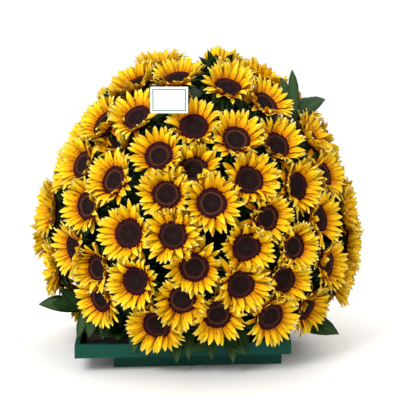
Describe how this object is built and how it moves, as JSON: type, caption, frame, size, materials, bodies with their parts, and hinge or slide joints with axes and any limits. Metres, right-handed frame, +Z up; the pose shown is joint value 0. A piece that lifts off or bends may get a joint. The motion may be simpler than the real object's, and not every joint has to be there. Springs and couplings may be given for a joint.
{
  "type": "bunch of sunflowers",
  "caption": "Dome of cut sunflowers packed head to head over a mound of floral foam, with sprigs of leaves and a blank card, standing in a shallow painted square tray on a plinth.",
  "frame": {"origin": "centre of the foot's underside, on the surface that it stands on", "axes": "+Z is up, the front with the card faces -Y, and +X is to the right as seen from the front"},
  "size_m": [0.6012, 0.5819, 0.5507],
  "materials": {
    "sunflower": "golden yellow rays with orange feet round a dark brown disc, on a green stem",
    "leaf": "dark green leaf with a waxy gloss and a paler midrib",
    "floral_foam": "dark green wet foam",
    "painted_tray": "dark blue-green satin paint on wood",
    "card": "white card",
    "pick": "green plastic"
  },
  "bodies": {
    "root": {"tray_foot": "painted_tray", "tray": "painted_tray", "floral_foam": "floral_foam", "card": "card", "card_pick": "pick", "sunflower_01": "sunflower", "sunflower_02": "sunflower", "sunflower_03": "sunflower", "sunflower_04": "sunflower", "sunflower_05": "sunflower", "sunflower_06": "sunflower", "sunflower_07": "sunflower", "sunflower_08": "sunflower", "sunflower_09": "sunflower", "sunflower_10": "sunflower", "sunflower_11": "sunflower", "sunflower_12": "sunflower", "sunflower_13": "sunflower", "sunflower_14": "sunflower", "sunflower_15": "sunflower", "sunflower_16": "sunflower", "sunflower_17": "sunflower", "sunflower_18": "sunflower", "sunflower_19": "sunflower", "sunflower_20": "sunflower", "sunflower_21": "sunflower", "sunflower_22": "sunflower", "sunflower_23": "sunflower", "sunflower_24": "sunflower", "sunflower_25": "sunflower", "sunflower_26": "sunflower", "sunflower_27": "sunflower", "sunflower_28": "sunflower", "sunflower_29": "sunflower", "sunflower_30": "sunflower", "sunflower_31": "sunflower", "sunflower_32": "sunflower", "sunflower_33": "sunflower", "sunflower_34": "sunflower", "sunflower_35": "sunflower", "sunflower_36": "sunflower", "sunflower_37": "sunflower", "sunflower_38": "sunflower", "sunflower_39": "sunflower", "sunflower_40": "sunflower", "sunflower_41": "sunflower", "sunflowers_right_upper": "sunflower", "sunflowers_right_lower": "sunflower", "sunflowers_back_right_upper": "sunflower", "sunflowers_back_right_lower": "sunflower", "sunflowers_back_left_upper": "sunflower", "sunflowers_back_left_lower": "sunflower", "sunflowers_left_upper": "sunflower", "sunflowers_left_lower": "sunflower", "leaf_sprig_top_right": "leaf", "leaf_sprig_left": "leaf", "leaf_sprig_right": "leaf", "leaf_sprig_front_left": "leaf", "leaf_sprig_front_right": "leaf", "sunflower_bud": "sunflower"}
  },
  "joints": []
}
